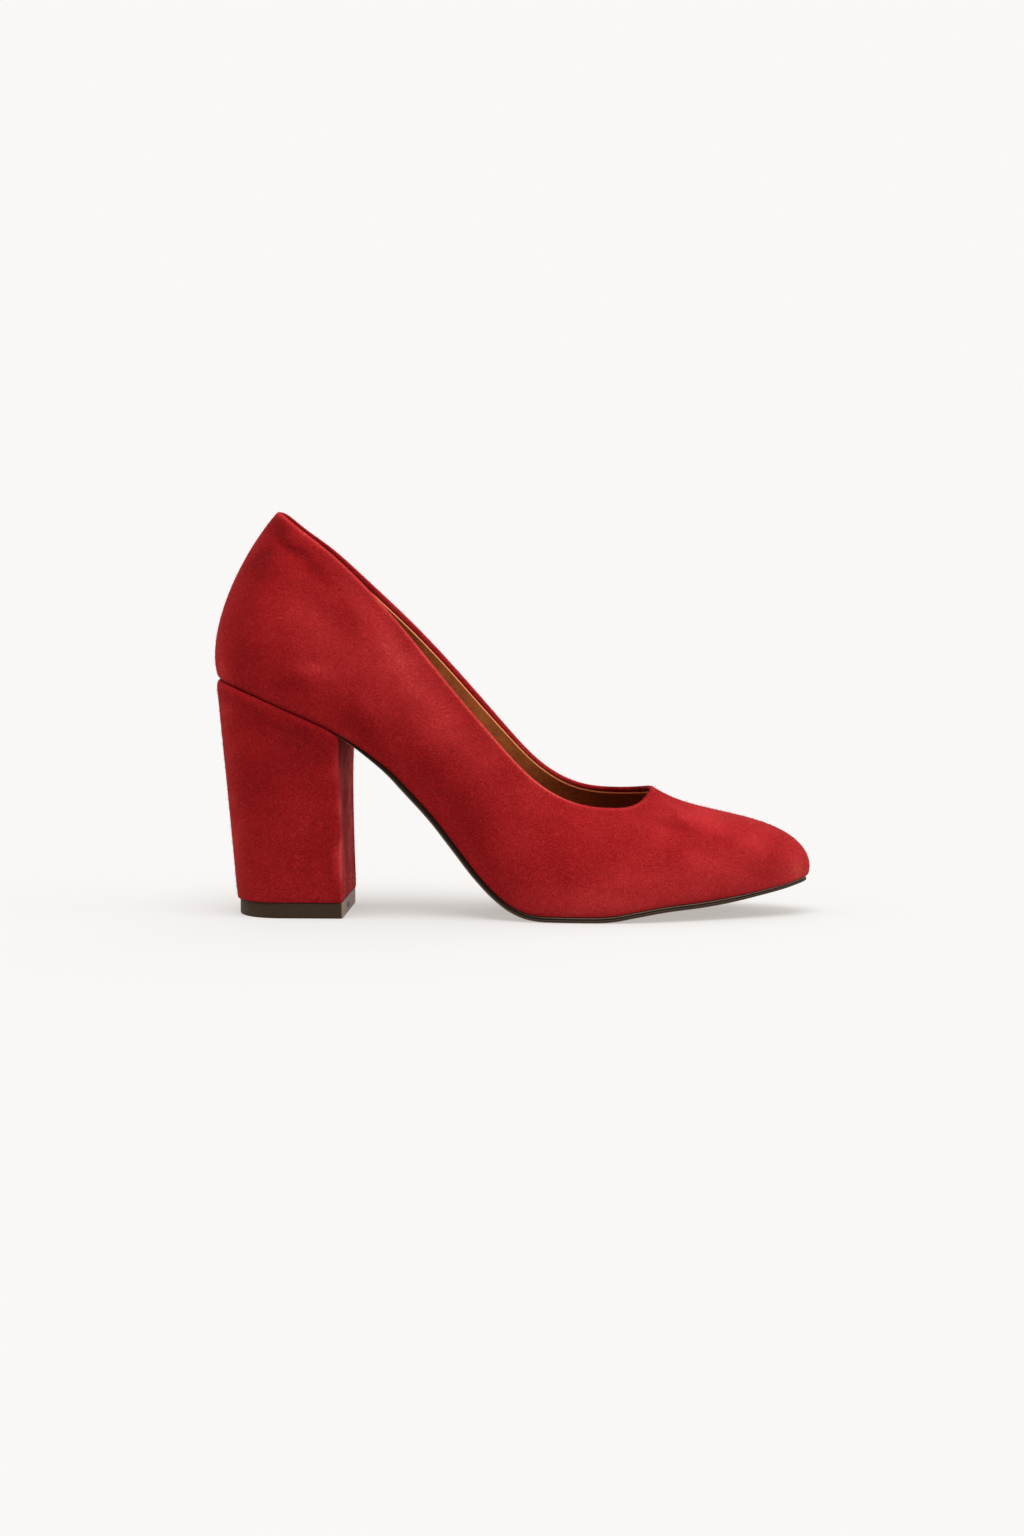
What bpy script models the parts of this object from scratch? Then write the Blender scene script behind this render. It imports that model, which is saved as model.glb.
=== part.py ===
# Block heel pump, right shoe, about EU 38, standing empty on its sole.
# Sizes are in millimetres: x runs from the back of the heel to the toe, y from the outer side of the
# foot (negative) to the inner side, z up from the floor. At the end everything moves so that the origin
# is under the middle of the shoe, and is scaled to metres.
import math

import bmesh
import bpy
import numpy as np

MM = 0.001

# Driving dimensions
UPPER_WALL = 1.7             # suede and lining together
GAP = 0.3                    # between neighbouring pieces
OUTSOLE_THICK = 1.9
OUTSOLE_INSET = 0.9          # sole edge inside the feather line
OUTSOLE_EDGE = 0.5           # rounding of the sole's lower edge
INSOLE_THICK = 1.8
INSOLE_INSET = 2.6
INSOLE_LIFT = 0.5            # above the lasting margin
FEATHER_ROUND = 3.0          # the upper turns under the foot over this length
LASTING_MARGIN = 4.5         # flat strip of the upper under the insole
TOP_PIECE_HEIGHT = 5.8
TOP_PIECE_EDGE = 0.4
LAP_START = 47.5             # the outsole's thin end starts here, over the front of the heel
LAP_END = 72.0               # the outsole has its full thickness from here
LAP_SEAT = 43.0              # the heel's seat starts to make room for it here
LAP_EDGE = 0.2               # share of the sole's thickness left at its thin end
LAP_SLOPE = 1.18             # sole thickness measured upright over the seat's slope
MERGE = 0.001                # points closer than this are one
SHARP_ANGLE = 35             # degrees; edges flatter than this are shaded smooth

# Mesh fineness
STEPS_PER_SECTION = 4        # columns of faces from one section to the next
WALL_ROWS = 10               # rows of faces from the feather line to the topline
CROSS_STEPS = 4              # strips across the sole and the heel

# The bottom of the last from the side: height of the feather line above the floor
BOTTOM_COLUMNS = ("x", "z")
BOTTOM = [
    (-4.0, 89.9),
    (1.6, 88.4),
    (8.6, 85.9),
    (25.0, 79.4),
    (42.5, 71.7),
    (52.2, 66.3),
    (60.3, 60.7),
    (68.3, 54.3),
    (75.5, 46.8),
    (84.0, 37.4),
    (92.7, 26.3),
    (100.5, 16.5),
    (108.5, 8.6),
    (114.0, 4.9),
    (120.0, 2.8),
    (126.0, 2.2),
    (145.0, 2.2),
    (151.0, 2.6),
    (158.0, 3.8),
    (171.0, 5.8),
    (183.2, 6.9),
    (194.7, 8.4),
    (205.9, 10.6),
    (214.5, 12.4),
    (223.4, 14.6),
    (228.0, 15.8),
]

# A row for each section of the upper, from the back seam to the toe tip. The feather line is where
# upper and sole meet, the top is the edge of the opening. Half widths are given for the outer and the
# inner side. The wall leaves the feather line towards (lean, rise), swells by belly and lift halfway,
# and comes to the edge over (crest_out, crest_up).
SECTION_COLUMNS = (
    "name", "feather_x", "feather_outer", "feather_inner",
    "top_x", "top_outer", "top_inner", "top_z_outer", "top_z_inner",
    "rise", "lean_outer", "lean_inner",
    "lift", "belly_outer", "belly_inner", "crest_up", "crest_out",
)
SECTIONS = [
    ("back", 1.5, 0.0, 0.0, 24.2, 0.0, 0.0, 150.6, 150.6, 9.0, 2.4, 2.4, -7.0, 13.4, 13.4, 0.5, 7.6),
    ("counter", 5.9, 15.8, 15.8, 27.0, 7.8, 7.8, 149.5, 149.3, 10.0, 2.4, 2.4, -5.0, 10.3, 10.3, 0.5, 5.8),
    ("quarter", 17.0, 24.0, 24.0, 33.5, 15.2, 15.2, 144.9, 143.5, 11.0, 3.0, 3.0, -3.0, 7.8, 7.8, 0.5, 3.9),
    ("seat", 32.0, 26.2, 26.0, 43.5, 20.8, 20.6, 137.7, 135.6, 11.0, 3.0, 3.2, -2.0, 5.5, 5.5, 0.0, 2.5),
    ("breast", 48.0, 25.8, 24.6, 56.5, 23.4, 23.2, 126.0, 123.6, 11.0, 2.8, 3.6, -2.0, 4.0, 4.6, 0.0, 1.5),
    ("waist", 66.0, 24.2, 20.5, 73.0, 24.8, 24.6, 108.0, 107.7, 11.0, 2.8, 4.4, -2.0, 3.2, 4.2, 0.0, 1.0),
    ("shank", 84.0, 23.8, 17.2, 90.0, 25.6, 25.4, 87.1, 89.5, 11.0, 2.8, 5.0, -1.0, 3.6, 5.0, 0.0, 1.0),
    ("rise", 102.0, 27.2, 19.8, 107.0, 26.2, 26.0, 67.4, 70.2, 10.0, 2.8, 4.6, 0.0, 4.6, 6.4, 0.5, 1.4),
    ("joint", 121.0, 34.6, 29.0, 122.0, 26.4, 26.2, 52.1, 54.9, 9.0, 2.8, 3.6, 2.0, 6.4, 7.0, 1.5, 2.4),
    ("ball", 140.0, 37.6, 35.2, 136.0, 24.8, 24.6, 44.1, 47.4, 9.0, 2.6, 3.0, 4.0, 7.4, 7.4, 3.0, 3.0),
    ("vamp", 159.0, 36.2, 36.8, 148.0, 21.4, 21.4, 41.8, 45.9, 9.0, 2.6, 2.8, 5.5, 8.4, 8.0, 3.5, 3.4),
    ("toe_side", 178.0, 29.8, 33.6, 156.2, 15.6, 15.8, 41.8, 46.4, 10.1, 2.8, 2.8, 7.5, 9.6, 9.4, 2.4, 3.4),
    ("toe", 196.0, 21.2, 27.2, 161.2, 9.8, 10.2, 43.8, 47.2, 11.2, 3.0, 3.0, 8.8, 11.6, 11.4, -0.8, 3.6),
    ("toe_corner", 210.4, 13.0, 20.0, 163.5, 5.2, 5.6, 46.1, 47.7, 12.1, 3.2, 3.2, 9.6, 13.6, 13.4, -3.8, 4.0),
    ("toe_round", 219.4, 5.0, 12.0, 164.3, 2.2, 2.4, 47.2, 47.8, 12.6, 3.4, 3.4, 9.4, 15.0, 15.0, -4.8, 4.0),
    ("tip", 223.4, -3.5, 3.5, 164.5, -0.4, 0.4, 47.8, 47.8, 12.6, 3.4, 3.4, 9.4, 15.6, 15.6, -4.8, 4.0),
]

# The covered heel block from its foot to the seat: share of the height, back edge, breast, half width,
# the length over which the back corners round off, and how far the breast's inner edge stands forward
HEEL_COLUMNS = ("height", "back", "front", "half", "corner", "turn")
HEEL = [
    (0.0, 8.7, 50.4, 26.2, 19.5, 0.1),
    (0.02, 8.5, 50.6, 26.5, 20.0, 0.1),
    (0.25, 6.8, 50.3, 26.6, 20.5, 0.3),
    (0.5, 4.9, 49.9, 26.7, 21.0, 0.5),
    (0.75, 2.9, 49.6, 26.7, 21.5, 0.7),
    (0.9, 1.7, 49.5, 26.6, 22.0, 0.8),
    (0.965, 1.2, 49.5, 26.5, 22.0, 0.8),
    (0.988, 1.6, 49.5, 26.1, 22.0, 0.8),
    (1.0, 2.6, 49.4, 25.3, 22.0, 0.8),
]
TOP_PIECE = [                # the same columns, with the height in millimetres
    (0.0, 10.0, 50.2, 25.5, 19.0, 0.1),
    (TOP_PIECE_EDGE, 9.7, 50.5, 25.8, 19.2, 0.1),
    (TOP_PIECE_HEIGHT - TOP_PIECE_EDGE / 2, 9.7, 50.5, 25.9, 19.2, 0.1),
    (TOP_PIECE_HEIGHT, 9.8, 50.4, 25.8, 19.2, 0.1),
]
CORNER_POWER = 2.4           # squareness of the heel's back corners
CORNER_STEPS = 9
SIDE_STEPS = 3

MATERIALS = {
    "red_suede": {"color": (0.36, 0.017, 0.02), "roughness": 0.95},
    "sock_leather": {"color": (0.22, 0.075, 0.025), "roughness": 0.6},
    "sole_resin": {"color": (0.035, 0.022, 0.016), "roughness": 0.5},
    "top_piece_rubber": {"color": (0.042, 0.026, 0.019), "roughness": 0.7},
}


# Curves

def monotone_slopes(x, z):
    """Slopes of a smooth curve through the points that never overshoots them."""
    steps = np.diff(x)
    rates = np.diff(z) / steps
    slopes = np.zeros(len(x))
    slopes[0], slopes[-1] = rates[0], rates[-1]
    for i in range(1, len(x) - 1):
        before, after = rates[i - 1], rates[i]
        if before * after > 0:
            first = 2 * steps[i] + steps[i - 1]
            second = steps[i] + 2 * steps[i - 1]
            slopes[i] = (first + second) / (first / before + second / after)
    return slopes


BOTTOM_X, BOTTOM_Z = (np.array([row[BOTTOM_COLUMNS.index(name)] for row in BOTTOM]) for name in ("x", "z"))
BOTTOM_SLOPES = monotone_slopes(BOTTOM_X, BOTTOM_Z)


def bottom_height(x):
    """Height of the last's bottom at x."""
    x = np.clip(x, BOTTOM_X[0], BOTTOM_X[-1])
    i = np.clip(np.searchsorted(BOTTOM_X, x, side="right") - 1, 0, len(BOTTOM_X) - 2)
    step = BOTTOM_X[i + 1] - BOTTOM_X[i]
    t = (x - BOTTOM_X[i]) / step
    low = (1 + 2 * t) * (1 - t) ** 2 * BOTTOM_Z[i] + t * (1 - t) ** 2 * step * BOTTOM_SLOPES[i]
    high = t ** 2 * (3 - 2 * t) * BOTTOM_Z[i + 1] - t ** 2 * (1 - t) * step * BOTTOM_SLOPES[i + 1]
    return low + high


def below_bottom(points, depth):
    """Points of the last's bottom moved square to it, downwards by depth."""
    x = points[..., 0]
    reach = 0.2
    slope = (bottom_height(x + reach) - bottom_height(x - reach)) / (2 * reach)
    length = np.sqrt(1 + slope ** 2)
    moved = np.empty(points.shape[:-1] + (3,))
    moved[..., 0] = x + depth * slope / length
    moved[..., 1] = points[..., 1]
    moved[..., 2] = bottom_height(x) - depth / length
    return moved


def closed_spline(values, lengths, steps):
    """Smooth closed curve through rows of values; steps points from each row to the next."""
    count = len(values)
    system = np.zeros((count, count))
    right = np.zeros_like(values)
    for i in range(count):
        before, after = lengths[i - 1], lengths[i]
        nxt = (i + 1) % count
        system[i, i - 1] += after
        system[i, i] += 2 * (before + after)
        system[i, nxt] += before
        rate_before = (values[i] - values[i - 1]) / before
        rate_after = (values[nxt] - values[i]) / after
        right[i] = 3 * (after * rate_before + before * rate_after)
    slopes = np.linalg.solve(system, right)
    samples = []
    for i in range(count):
        nxt = (i + 1) % count
        for k in range(steps):
            t = k / steps
            start = (1 + 2 * t) * (1 - t) ** 2
            end = t ** 2 * (3 - 2 * t)
            leave = t * (1 - t) ** 2 * lengths[i]
            arrive = -t ** 2 * (1 - t) * lengths[i]
            samples.append(start * values[i] + end * values[nxt] + leave * slopes[i] + arrive * slopes[nxt])
    return np.array(samples)


# The last

def side_values(row, side):
    """One section's values on one side of the foot, side -1 for the outer one and 1 for the inner one."""
    cell = dict(zip(SECTION_COLUMNS, row))
    name = "outer" if side < 0 else "inner"
    return [
        cell["feather_x"],
        side * cell["feather_" + name],
        cell["top_x"],
        side * cell["top_" + name],
        cell["top_z_" + name],
        cell["rise"],
        cell["lean_" + name],
        cell["lift"],
        cell["belly_" + name],
        cell["crest_up"],
        cell["crest_out"],
    ]


def last_sections(steps):
    """Sections all round the foot, from the back along the outer side to the tip and back inside."""
    outer = [side_values(row, -1) for row in SECTIONS]
    inner = [side_values(row, 1) for row in SECTIONS[-2:0:-1]]
    values = np.array(outer + inner)
    feather = values[:, :2]
    lengths = np.linalg.norm(np.roll(feather, -1, axis=0) - feather, axis=1)
    return closed_spline(values, lengths, steps)


def outward(sections):
    """Outward direction in plan at each section's feather point."""
    feather = sections[:, :2]
    along = np.roll(feather, -1, axis=0) - np.roll(feather, 1, axis=0)
    normal = np.stack([-along[:, 1], along[:, 0]], axis=1)
    normal /= np.linalg.norm(normal, axis=1)[:, None]
    return -normal


def bezier(controls, t):
    """Point of a Bezier curve by repeated halving of its control polygon."""
    layer = list(controls)
    while len(layer) > 1:
        layer = [(1 - t) * a + t * b for a, b in zip(layer, layer[1:])]
    return layer[0]


def upper_rows(steps, wall_rows):
    """Rows of points of the upper's outer face, from the lasting margin under the foot to the topline."""
    sections = last_sections(steps)
    normal = outward(sections)
    flat = np.concatenate([normal, np.zeros((len(normal), 1))], axis=1)
    up = np.array([0.0, 0.0, 1.0])

    feather = np.stack([sections[:, 0], sections[:, 1], bottom_height(sections[:, 0])], axis=1)
    top = sections[:, 2:5]
    rise, lean, lift, belly, crest_up, crest_out = (sections[:, i:i + 1] for i in range(5, 11))
    wall = feather + flat * lean + up * rise
    middle = (feather + top) / 2 + flat * belly + up * lift
    crest = top + (feather - top) / 4 + flat * crest_out + up * crest_up
    start = feather + (wall - feather) * FEATHER_ROUND / np.linalg.norm(wall - feather, axis=1)[:, None]

    def under(inset):
        inner = feather - flat * inset
        inner[:, 2] = bottom_height(inner[:, 0])
        return inner

    rows = [under(FEATHER_ROUND + LASTING_MARGIN * share) for share in (1.0, 0.5, 0.0)]
    turn = under(FEATHER_ROUND)
    rows += [bezier((turn, feather, start), share) for share in (0.25, 0.5, 0.75)]
    rows += [bezier((start, wall, middle, crest, top), i / wall_rows) for i in range(wall_rows + 1)]
    return rows


def sole_outline(inset, steps, first_x=None):
    """Outer and inner points of the feather line moved inwards, in pairs from the heel to the tip."""
    sections = last_sections(steps)
    points = sections[:, :2] - outward(sections) * inset
    half = len(points) // 2
    outer = points[:half + 1]
    inner = np.concatenate([points[:1], points[:half - 1:-1]])
    if first_x is not None:
        keep = outer[:, 0] > first_x + 1.0
        outer, inner = outer[keep], inner[keep]
        outer = np.concatenate([[[first_x, outer[0, 1]]], outer])
        inner = np.concatenate([[[first_x, inner[0, 1]]], inner])
    return outer, inner


def across(outer, inner, strips):
    """Grid of plan points between two edges."""
    shares = np.linspace(0, 1, strips + 1)
    return outer[:, None] + (inner - outer)[:, None] * shares[None, :, None]


def heel_outline(row):
    """Plan of the heel: straight sides, rounded back corners, and a breast turned a little inwards."""
    cell = dict(zip(HEEL_COLUMNS, row))
    back, half, corner = cell["back"], cell["half"], cell["corner"]
    edges = []
    for side in (-1, 1):
        side_end = cell["front"] + side * cell["turn"]
        edge = []
        for i in range(CORNER_STEPS + 1):
            angle = math.pi / 2 * i / CORNER_STEPS
            x = back + corner * (1 - math.cos(angle) ** (2 / CORNER_POWER))
            edge.append((x, side * half * math.sin(angle) ** (2 / CORNER_POWER)))
        for i in range(1, SIDE_STEPS + 1):
            edge.append((back + corner + (side_end - back - corner) * i / SIDE_STEPS, side * half))
        edges.append(np.array(edge))
    return edges


def sole_share(x):
    """Share of the outsole's thickness at x, growing from its thin end over the heel."""
    run = np.clip((x - LAP_START) / (LAP_END - LAP_START), 0.0, 1.0)
    return LAP_EDGE + (1 - LAP_EDGE) * run


# Building

def new_material(name):
    look = MATERIALS[name]
    material = bpy.data.materials.new(name)
    material.use_nodes = True
    shader = material.node_tree.nodes["Principled BSDF"]
    shader.inputs["Base Color"].default_value = (*look["color"], 1.0)
    shader.inputs["Roughness"].default_value = look["roughness"]
    shader.inputs["Metallic"].default_value = 0.0
    return material


def add_object(name, shape, collection, material):
    """Object from a bmesh in millimetres, with doubled points merged."""
    bmesh.ops.remove_doubles(shape, verts=shape.verts, dist=MERGE)
    bmesh.ops.recalc_face_normals(shape, faces=shape.faces)
    bmesh.ops.scale(shape, vec=(MM, MM, MM), verts=shape.verts)
    mesh = bpy.data.meshes.new(name)
    shape.to_mesh(mesh)
    shape.free()
    mesh.shade_smooth()
    mesh.set_sharp_from_angle(angle=math.radians(SHARP_ANGLE))
    mesh.materials.append(material)
    piece = bpy.data.objects.new(name, mesh)
    collection.objects.link(piece)
    return piece


def stack(name, layers, collection, material):
    """Closed solid: the first grid is its underside, the last its top, and the rims of all make its side."""
    shape = bmesh.new()
    grids = [[[shape.verts.new(p) for p in line] for line in layer] for layer in layers]

    def cover(grid):
        for line, following in zip(grid, grid[1:]):
            for i in range(len(line) - 1):
                shape.faces.new((line[i], line[i + 1], following[i + 1], following[i]))

    def rim(grid):
        side = [line[0] for line in grid[:-1]]
        side += grid[-1][:-1]
        side += [line[-1] for line in grid[:0:-1]]
        side += grid[0][:0:-1]
        return side

    cover(grids[0])
    cover(grids[-1])
    for low, high in zip(grids, grids[1:]):
        below, above = rim(low), rim(high)
        for i in range(len(below)):
            shape.faces.new((below[i - 1], below[i], above[i], above[i - 1]))
    loose = set(shape.verts) - {v for face in shape.faces for v in face.verts}
    bmesh.ops.delete(shape, geom=list(loose), context="VERTS")
    return add_object(name, shape, collection, material)


def make_upper(collection, material):
    """Hollow suede upper, open at the collar and under the foot."""
    rows = upper_rows(STEPS_PER_SECTION, WALL_ROWS)
    shape = bmesh.new()
    rings = [[shape.verts.new(p) for p in row] for row in rows]
    for low, high in zip(rings, rings[1:]):
        for i in range(len(low)):
            shape.faces.new((low[i - 1], low[i], high[i], high[i - 1]))
    upper = add_object("upper", shape, collection, material)
    wall = upper.modifiers.new("wall", "SOLIDIFY")
    wall.thickness = UPPER_WALL * MM
    wall.offset = -1.0
    wall.use_even_offset = True
    return upper


def make_outsole(collection, material):
    """Thin sole from the heel breast to the toe tip, flat on the floor under the ball of the foot."""
    def layer(inset, depth):
        grid = across(*sole_outline(inset, STEPS_PER_SECTION, LAP_START), CROSS_STEPS)
        return below_bottom(grid, GAP + depth * sole_share(grid[..., 0]))

    layers = [
        layer(OUTSOLE_INSET + OUTSOLE_EDGE, OUTSOLE_THICK),
        layer(OUTSOLE_INSET, OUTSOLE_THICK - OUTSOLE_EDGE),
        layer(OUTSOLE_INSET, 0.0),
    ]
    return stack("outsole", layers, collection, material)


def make_insole(collection, material):
    """Padded insole on the lasting margin, from heel to toe."""
    grid = across(*sole_outline(INSOLE_INSET, STEPS_PER_SECTION), CROSS_STEPS)
    low = UPPER_WALL + INSOLE_LIFT
    layers = [below_bottom(grid, -low), below_bottom(grid, -low - INSOLE_THICK)]
    return stack("insole", layers, collection, material)


def make_heel(collection, material):
    """Covered block whose top follows the seat and makes room for the thin end of the outsole."""
    foot = TOP_PIECE_HEIGHT + GAP
    layers = []
    for row in HEEL:
        grid = across(*heel_outline(row), CROSS_STEPS)
        x = grid[..., 0]
        room = np.clip((x - LAP_SEAT) / (LAP_START - LAP_SEAT), 0.0, 1.0)
        seat = bottom_height(x) - GAP - (GAP + OUTSOLE_THICK * sole_share(x)) * room * LAP_SLOPE
        height = foot + (seat - foot) * row[0]
        layers.append(np.concatenate([grid, height[..., None]], axis=2))
    return stack("heel", layers, collection, material)


def make_top_piece(collection, material):
    """Hard-wearing lift under the heel, flat on the floor."""
    layers = []
    for row in TOP_PIECE:
        grid = across(*heel_outline(row), CROSS_STEPS)
        layers.append(np.concatenate([grid, np.full(grid.shape[:2] + (1,), row[0])], axis=2))
    return stack("top_piece", layers, collection, material)


def centre_on_floor(pieces):
    """Move all pieces so that the origin is under the middle of the shoe, on the floor."""
    view = bpy.context.evaluated_depsgraph_get()
    corners = []
    for piece in pieces:
        evaluated = piece.evaluated_get(view)
        corners += [evaluated.matrix_world @ vertex.co for vertex in evaluated.to_mesh().vertices]
        evaluated.to_mesh_clear()
    middle_x = (min(c.x for c in corners) + max(c.x for c in corners)) / 2
    middle_y = (min(c.y for c in corners) + max(c.y for c in corners)) / 2
    for piece in pieces:
        piece.location = (-middle_x, -middle_y, 0.0)


def main():
    for old in list(bpy.data.objects):
        bpy.data.objects.remove(old, do_unlink=True)
    shoe = bpy.data.collections.new("block_heel_pump")
    bpy.context.scene.collection.children.link(shoe)
    looks = {name: new_material(name) for name in MATERIALS}
    pieces = [
        make_upper(shoe, looks["red_suede"]),
        make_insole(shoe, looks["sock_leather"]),
        make_outsole(shoe, looks["sole_resin"]),
        make_heel(shoe, looks["red_suede"]),
        make_top_piece(shoe, looks["top_piece_rubber"]),
    ]
    centre_on_floor(pieces)


main()
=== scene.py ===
# Block heel pump in red suede, right shoe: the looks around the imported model
import math

import bmesh
import bpy
import numpy as np
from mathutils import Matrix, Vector, noise


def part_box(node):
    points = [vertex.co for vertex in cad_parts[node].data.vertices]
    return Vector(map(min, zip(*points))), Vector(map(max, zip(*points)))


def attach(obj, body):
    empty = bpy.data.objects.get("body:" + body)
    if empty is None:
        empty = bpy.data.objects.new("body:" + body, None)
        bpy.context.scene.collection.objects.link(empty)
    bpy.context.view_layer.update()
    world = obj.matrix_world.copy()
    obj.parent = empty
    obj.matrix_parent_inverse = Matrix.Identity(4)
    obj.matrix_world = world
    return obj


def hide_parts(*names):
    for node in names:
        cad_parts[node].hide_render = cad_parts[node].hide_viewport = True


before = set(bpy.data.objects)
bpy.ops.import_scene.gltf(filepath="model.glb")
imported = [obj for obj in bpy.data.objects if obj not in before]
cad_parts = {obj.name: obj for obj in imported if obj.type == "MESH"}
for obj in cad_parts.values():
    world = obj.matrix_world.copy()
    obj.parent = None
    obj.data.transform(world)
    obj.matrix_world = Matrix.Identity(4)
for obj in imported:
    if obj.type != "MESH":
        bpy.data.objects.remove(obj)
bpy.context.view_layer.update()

mm = 0.001
shoeBody = "root"
print("frame loaded:", sorted(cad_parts))


def addObject(name, data):
    piece = bpy.data.objects.new(name, data)
    bpy.context.scene.collection.objects.link(piece)
    return piece


def addNode(tree, kind, settings=None, **inputs):
    # an input goes by its socket's name, or by its number as at0, at1 and so on
    node = tree.nodes.new(kind)
    for key, value in (settings or {}).items():
        setattr(node, key, value)
    for key, value in inputs.items():
        socket = node.inputs[int(key[2:])] if key.startswith("at") and key[2:].isdigit() else node.inputs[key]
        if isinstance(value, bpy.types.NodeSocket):
            tree.links.new(value, socket)
        else:
            socket.default_value = value
    return node


def newMaterial(name, fixed):
    material = bpy.data.materials.new(name)
    material.use_nodes = True
    tree = material.node_tree
    shader = tree.nodes["Principled BSDF"]
    for label, value in fixed.items():
        shader.inputs[label].default_value = value
    return material, tree, shader


# Camera, light and floor

cameraSet = dict(
    place=(0.0756, -1.6996, 0.2022),  # outer side of the shoe, a little above it and ahead of its middle
    aim=(-0.04458, 1.0, -0.08699),
    focal=106.47,
    sensor=36.0,
)


def makeCamera(opts):
    data = bpy.data.cameras.new("camera")
    data.lens = opts["focal"]
    data.sensor_fit = "VERTICAL"
    data.sensor_height = opts["sensor"]
    data.clip_end = 200.0
    camera = addObject("camera", data)
    camera.location = opts["place"]
    camera.rotation_euler = Vector(opts["aim"]).to_track_quat("-Z", "Y").to_euler()
    bpy.context.scene.camera = camera


studioSet = dict(
    backdrop=(0.9585, 0.9412, 0.9240),
    ambient=0.85,
    floorBright=(0.4799, 0.4479, 0.4194),  # the paper's own light, as on a lit table
    floorColor=(0.210, 0.216, 0.222),
    floorHalf=80.0,
    lamps=(
        # name, azimuth, elevation, strength, softness in degrees
        ("topSoft", -5.0, 74.0, 3.4, 44.0),
        ("toeSide", 82.0, 30.0, 0.85, 50.0),
        ("heelSide", -82.0, 30.0, 0.44, 50.0),
        ("backSoft", 172.0, 40.0, 0.9, 60.0),
    ),
)


def makeStudio(opts):
    scene = bpy.context.scene
    scene.view_settings.view_transform = "Standard"
    scene.view_settings.look = "None"

    world = bpy.data.worlds.new("studio")
    scene.world = world
    world.use_nodes = True
    tree = world.node_tree
    tree.nodes.clear()
    seen = addNode(tree, "ShaderNodeBackground", Color=(*opts["backdrop"], 1.0))
    around = addNode(tree, "ShaderNodeBackground", Color=(1.0, 1.0, 1.0, 1.0), Strength=opts["ambient"])
    path = addNode(tree, "ShaderNodeLightPath")
    either = addNode(tree, "ShaderNodeMixShader", Fac=path.outputs["Is Camera Ray"],
                     at1=around.outputs["Background"], at2=seen.outputs["Background"])
    addNode(tree, "ShaderNodeOutputWorld", Surface=either.outputs["Shader"])

    for name, azimuth, elevation, strength, softness in opts["lamps"]:
        data = bpy.data.lights.new(name, "SUN")
        data.energy = strength
        data.angle = math.radians(softness)
        lamp = addObject(name, data)
        turn, lift = math.radians(azimuth), math.radians(elevation)
        toward = Vector((math.sin(turn) * math.cos(lift), -math.cos(turn) * math.cos(lift), math.sin(lift)))
        lamp.rotation_euler = toward.to_track_quat("Z", "Y").to_euler()

    half = opts["floorHalf"]
    corners = [(x * half, y * half, 0) for x, y in ((-1, -1), (1, -1), (1, 1), (-1, 1))]
    mesh = bpy.data.meshes.new("floor")
    mesh.from_pydata(corners, [], [(0, 1, 2, 3)])
    material, _, _ = newMaterial("floorPaper", {
        "Base Color": (*opts["floorColor"], 1.0), "Emission Color": (*opts["floorBright"], 1.0),
        "Emission Strength": 1.0, "Roughness": 1.0, "Specular IOR Level": 0.0,
    })
    mesh.materials.append(material)
    addObject("floor", mesh)


makeCamera(cameraSet)
makeStudio(studioSet)
print("camera and studio ready")


# The last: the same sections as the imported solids, in millimetres from the back of the heel

bottomRows = [  # x, height of the feather line
    (-4.0, 89.9),
    (1.6, 88.4),
    (8.6, 85.9),
    (25.0, 79.4),
    (42.5, 71.7),
    (52.2, 66.3),
    (60.3, 60.7),
    (68.3, 54.3),
    (75.5, 46.8),
    (84.0, 37.4),
    (92.7, 26.3),
    (100.5, 16.5),
    (108.5, 8.6),
    (114.0, 4.9),
    (120.0, 2.8),
    (126.0, 2.2),
    (145.0, 2.2),
    (151.0, 2.6),
    (158.0, 3.8),
    (171.0, 5.8),
    (183.2, 6.9),
    (194.7, 8.4),
    (205.9, 10.35),
    (214.5, 11.96),
    (223.4, 14.15),
    (228.0, 15.35),
]

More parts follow.
